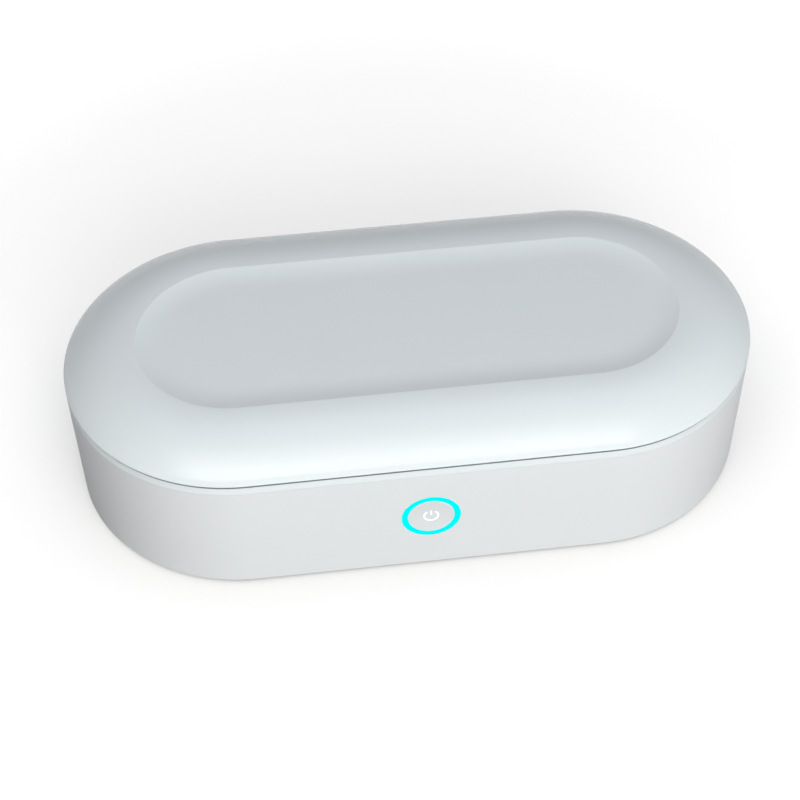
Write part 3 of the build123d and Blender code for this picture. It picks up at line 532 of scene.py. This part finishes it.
def lamp(name, x, z, up, body):
    """Ceramic package, its open side facing up (1) or down (-1), with a violet die on a metal pad."""
    def box(half, low, high):
        return block(x - half, x + half, -half, half, *sorted((z + up * low, z + up * high)))

    height, pad, opening = 1.1, 0.5, 1.25
    package = make(name, *box(1.75, 0, height), [ceramic], body)
    carve(package, [round_cutter((x, 0, z + up * pad), (0, 0, up), opening, 2.0, 48)])
    softened(package, 0.08)
    pad_part = turned(name + "_cavity", [(0, 0), (opening - 0.01, 0)], (x, 0, z + up * (pad + 0.01)), (0, 0, up),
                      [cavity], body, 48)
    die_part = make(name + "_die", *box(0.5, pad, pad + 0.2), [die], body)
    softened(die_part, 0.03)
    return package


for body, xs, z_window, z_lamp, up in (("lid", LID_LAMPS, 50.0, 52.1, -1), ("base", BASE_LAMPS, TUB_UNDER, 26.7, 1)):
    for i, x in enumerate(xs):
        glass = window(f"{body}_window_{i + 1}", x, z_window, body)
        package = lamp(f"{body}_lamp_{i + 1}", x, z_lamp, up, body)
        if i == 0:
            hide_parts(f"{body}_windows")
            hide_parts(f"{body}_uvc_leds")


# ------------------------------------------------------------------ screws, feet
def screw(name, x, y, seat, radius, head, shank, bite, body):
    """Cross-recess screw driven in from below."""
    outline = rounded([(0, -head, 0), (radius, -head, head * 0.45), (radius, 0, 0.05), (shank, 0, 0),
                       (shank, bite, 0.1), (0, bite, 0)], hold=0.03)
    obj = turned(name, outline, (x, y, seat), UP, [screw_steel], body, 40)
    arm, width = radius * 0.55, radius * 0.17
    low, high = seat - head - 0.1, seat - head * 0.4
    carve(obj, [cutter(block(x - dx, x + dx, y - dy, y + dy, low, high)) for dx, dy in ((arm, width), (width, arm))])
    smooth(obj, 35)
    return obj


# Sizes: radius and height of the head, radius and length of the shank.
for group, body, points, seat, size in (
        ("bottom_screws", "base", quarters(46, 35), 2.2, (2.6, 1.1, 1.2, 7.0)),
        ("lid_screws", "lid", quarters(58, 29.5), CEILING, (1.9, 1.1, 0.9, 4.0))):
    for i, (x, y) in enumerate(points):
        made = screw(f"{group}_{i + 1}", x, y, seat, *size, body)
        if i == 0:
            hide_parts(group)

outline = rounded([(0, 0.12, 0), (4.6, 0.12, 0), (4.8, 0, 0.05), (6.5, 0, 0.45), (6.5, 1.9, 0), (0, 1.9, 0)],
                  hold=0.08)
for place, (x, y) in zip(("front_left", "front_right", "rear_left", "rear_right"), quarters(74, 32.5)):
    foot = turned(f"foot_{place}_form", outline, (x, y, 0), UP, [rubber], "base")
    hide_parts(f"foot_{place}")

# ------------------------------------------------------------------ button and ring
# Their outlines start at the front wall and run inwards.
face_centre = (0, -HALF, RING_Z)
outline = rounded([(RING_OUT, RING_DEPTH, 0), (RING_OUT, 0, 0.1), (RING_IN, 0, 0.1), (RING_IN, GUIDE_DEPTH, 0),
                   (WIDE_BORE, GUIDE_DEPTH, 0), (WIDE_BORE, RING_DEPTH, 0), (RING_OUT, RING_DEPTH, 0)],
                  steps=3, hold=0.05)
guide = turned("light_ring_form", outline, face_centre, INWARDS, [ring_glow], "base", 128)
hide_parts("light_ring")


def dish(r):
    """Depth of the button's dished face at a radius."""
    return 0.35 * (1 - (r / (BUTTON - 0.3)) ** 2)


shoulder, hollow, stub = 8.15, 6.1, 2.2
outline = [(r, dish(r)) for r in (0, 1, 2, 3, 4, 5, 6, 6.6)]
outline += rounded([(6.85, dish(6.85), 0), (BUTTON, 0.0, 0.18), (BUTTON, GUIDE_DEPTH, 0), (shoulder, GUIDE_DEPTH, 0),
                    (shoulder, 3.6, 0), (hollow, 3.6, 0), (hollow, 1.55, 0), (stub, 1.55, 0), (stub, 3.4, 0),
                    (0, 3.4, 0)], steps=3, hold=0.03)
cap = turned("power_button_form", outline, face_centre, INWARDS, [button_white], "button", 128)
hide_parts("power_button")


def printed(name, cells):
    """Thin print on the dished face; each cell is four (x, z) corners from the button's axis."""
    verts, faces = [], []
    for cell in cells:
        base = len(verts)
        for lift in (0.03, -0.02):
            for x, z in cell:
                verts.append((x, -HALF + dish(math.hypot(x, z)) - lift, RING_Z + z))
        faces += [(base, base + 1, base + 2, base + 3), (base + 7, base + 6, base + 5, base + 4)]
        faces += [(base + i, base + 4 + i, base + 4 + (i + 1) % 4, base + (i + 1) % 4) for i in range(4)]
    obj = make(name, verts, faces, [glyph_print_glow], "button", turn=False)
    face_outwards(obj.data, merge=1e-6)


# The power sign: an open ring, and a bar in its gap.
gap, steps, r_in, r_out = math.radians(33), 56, 1.96, 2.46
ends = [math.pi / 2 + gap + 2 * (math.pi - gap) * k / steps for k in range(steps + 1)]
cells = []
for a0, a1 in zip(ends, ends[1:]):
    cells.append([(r * math.cos(a), r * math.sin(a)) for a, r in ((a0, r_in), (a0, r_out), (a1, r_out), (a1, r_in))])
printed("power_sign_ring", cells)
side, tall = 0.23, 0.35
cells = [[(-side, z), (side, z), (side, z + tall), (-side, z + tall)] for z in (tall * k for k in range(1, 7))]
printed("power_sign_bar", cells)

# ------------------------------------------------------------------ USB contacts
contacts = []
for z in (USB_Z + 0.37, USB_Z - 0.37):
    for i in range(12):
        x = (i - 5.5) * 0.5
        contacts.append(block(x - 0.13, x + 0.13, 49.2, 52.9, z - 0.02, z + 0.02))
contact_form = joined("usb_contacts", contacts, [gold], "base")

# ------------------------------------------------------------------ CAD nodes that stay
kept = {
    "bottom_cover": cover_white, "hinge_pin_left": pin_steel, "hinge_pin_right": pin_steel, "switch_board": board_green,
    "tact_switch": chip_black, "ring_leds": led_body, "main_board": board_green, "controller_chip": chip_black,
    "power_inductor": ferrite, "capacitors": can_metal, "board_connectors": nylon, "usb_socket": socket_steel,
    "usb_tongue": dark_nylon, "base_magnets": nickel, "lid_sensor": chip_black, "base_led_board": board_metal,
    "switch_plunger": dark_nylon, "lid_magnets": nickel, "lid_led_board": board_metal,
}
for name, mat in kept.items():
    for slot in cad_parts[name].material_slots:
        slot.material = mat


# ------------------------------------------------------------------ stage
def background_rays(tree):
    """1 for the rays that show the white background: from the camera, by gloss and through glass."""
    seen = node(tree, "LightPath").outputs
    last = seen["Is Camera Ray"]
    for kind in ("Is Glossy Ray", "Is Transmission Ray"):
        add = node(tree, "Math", last, seen[kind])
        add.operation = "ADD"
        add.use_clamp = True
        last = add.outputs[0]
    return last


world = bpy.data.worlds.new("studio")
bpy.context.scene.world = world
tree = bare_tree(world)
dim = node(tree, "Background", Color=(0.9, 0.97, 1.0, 1), Strength=0.04)
white = node(tree, "Background", Color=(1, 1, 1, 1), Strength=1.0)
mix = node(tree, "MixShader", background_rays(tree), dim.outputs[0], white.outputs[0])
node(tree, "OutputWorld", mix.outputs[0])

# The floor glows white, with a painted shadow where the object is near (ambient occlusion dims the glow there), and
# more again far away, so that no horizon shows.
floor_mat = bpy.data.materials.new("floor_pale")
tree = bare_tree(floor_mat)
plain = node(tree, "BsdfDiffuse", Color=(0.22, 0.22, 0.22, 1))
shadowed = node(tree, "BsdfDiffuse", Color=(0.4, 0.4, 0.4, 1))
# Painted shadow: ambient occlusion dims the floor's glow near the object.
near = node(tree, "AmbientOcclusion", Distance=0.25)
near.samples = 16
level = node(tree, "MapRange", Value=near.outputs["AO"], To_Min=0.12, To_Max=0.66)
away = node(tree, "VectorMath", node(tree, "NewGeometry").outputs["Position"])
away.operation = "LENGTH"
far = node(tree, "MapRange", Value=away.outputs["Value"], From_Min=0.2, From_Max=0.5, To_Max=0.4)
lift = node(tree, "Math", level.outputs[0], far.outputs[0])
lift.operation = "ADD"
glow = node(tree, "Emission", Strength=lift.outputs[0])
both = node(tree, "AddShader", shadowed.outputs[0], glow.outputs[0])
mix = node(tree, "MixShader", background_rays(tree), plain.outputs[0], both.outputs[0])
node(tree, "OutputMaterial", mix.outputs[0])
reach = 4000
floor = make("floor", [(-reach, -reach, 0), (reach, -reach, 0), (reach, reach, 0), (-reach, reach, 0)], [(0, 1, 2, 3)],
             [floor_mat], None, turn=False)

# name, azimuth (0 is the front, 90 the right), elevation, distance, width, height (m), radiance, colour
LIGHTS = (
    ("key_front", -7, 58, 1.3, 1.3, 0.32, 5.3, (1.0, 0.97, 0.83)),
    ("key_top", -7, 72, 1.3, 1.3, 0.32, 2.1, (1.0, 0.87, 0.96)),
    ("top_rear", 176, 78, 1.3, 1.3, 0.4, 0.9, (0.4, 0.65, 1.0)),
    ("key_left", -48, 62, 1.3, 0.5, 0.8, 0.76, (0.95, 0.97, 1.0)),
    ("low_front", 2, 20, 1.5, 0.7, 0.6, 5.35, (0.87, 0.95, 1.0)),
    ("low_right", 24, 20, 1.5, 0.7, 0.6, 5.8, (1.0, 1.0, 0.98)),
    ("low_rear", 180, 12, 1.4, 1.6, 0.4, 0.5, (1.0, 1.0, 1.0)),
    ("rear_wall", 180, 14, 1.4, 1.6, 0.6, 3.0, (1.0, 1.0, 1.0)),
    ("floor_shade", 0, 30, 1.4, 0.9, 0.5, 8.0, (1.0, 1.0, 1.0)),
    ("lid_bounce", 180, -40, 1.3, 1.3, 0.7, 4.4, (1.0, 1.0, 1.0)),
)
# Three soft lamps light chosen pieces alone: the rear wall and the hinge arms in it, so that they aren't lost in
# their own shade, the floor, so that the object's shadow falls behind it, and the back of the opened lid, which a
# white table would light from below. That last lamp lies under the floor, so only the object blocks it.
chosen = {"rear_wall": (base_form, arm_form), "floor_shade": (floor,), "lid_bounce": (lid_form,)}
blockers = {"lid_bounce": (base_form, tub_form, lid_form)}


def collected(name, objects):
    group = bpy.data.collections.new(name)
    for obj in objects:
        group.objects.link(obj)
    return group


for name, azimuth, elevation, distance, width, height, radiance, color in LIGHTS:
    a, e = math.radians(azimuth), math.radians(elevation)
    away = Vector((math.sin(a) * math.cos(e), -math.cos(a) * math.cos(e), math.sin(e)))
    data = bpy.data.lights.new(name, "AREA")
    data.shape = "RECTANGLE"
    data.size, data.size_y = width, height
    data.energy = radiance * math.pi * width * height
    data.color = color
    lamp_obj = bpy.data.objects.new(name, data)
    bpy.context.scene.collection.objects.link(lamp_obj)
    lamp_obj.location = Vector((0, 0, 0.03)) + away * distance
    lamp_obj.rotation_euler = away.to_track_quat("Z", "Y").to_euler()
    lamp_obj.visible_camera = False
    lamp_obj.visible_glossy = not name.startswith("low_")
    if name in chosen:
        lamp_obj.light_linking.receiver_collection = collected(name, chosen[name])
    if name in blockers:
        lamp_obj.light_linking.blocker_collection = collected(name + "_blockers", blockers[name])

# ------------------------------------------------------------------ camera
azimuth, elevation, roll = (math.radians(v) for v in (-6.1827, 47.665, -0.9509))
distance, focal_pixels, picture_pixels, sensor = 0.56939, 1711.695, 800, 36.0
aim = Vector((-0.0032388, 0.0, 0.0188682))
back = Vector((math.sin(azimuth) * math.cos(elevation), -math.cos(azimuth) * math.cos(elevation), math.sin(elevation)))
level = Vector((math.cos(azimuth), math.sin(azimuth), 0))
upright = back.cross(level)
right = level * math.cos(roll) + upright * math.sin(roll)
up = upright * math.cos(roll) - level * math.sin(roll)
camera_data = bpy.data.cameras.new("camera")
camera_data.sensor_width = sensor
camera_data.lens = focal_pixels * sensor / picture_pixels
camera = bpy.data.objects.new("camera", camera_data)
bpy.context.scene.collection.objects.link(camera)
place = Matrix((right, up, back)).transposed().to_4x4()
place.translation = aim + back * distance
camera.matrix_world = place
bpy.context.scene.camera = camera
bpy.context.scene.view_settings.view_transform = "Standard"
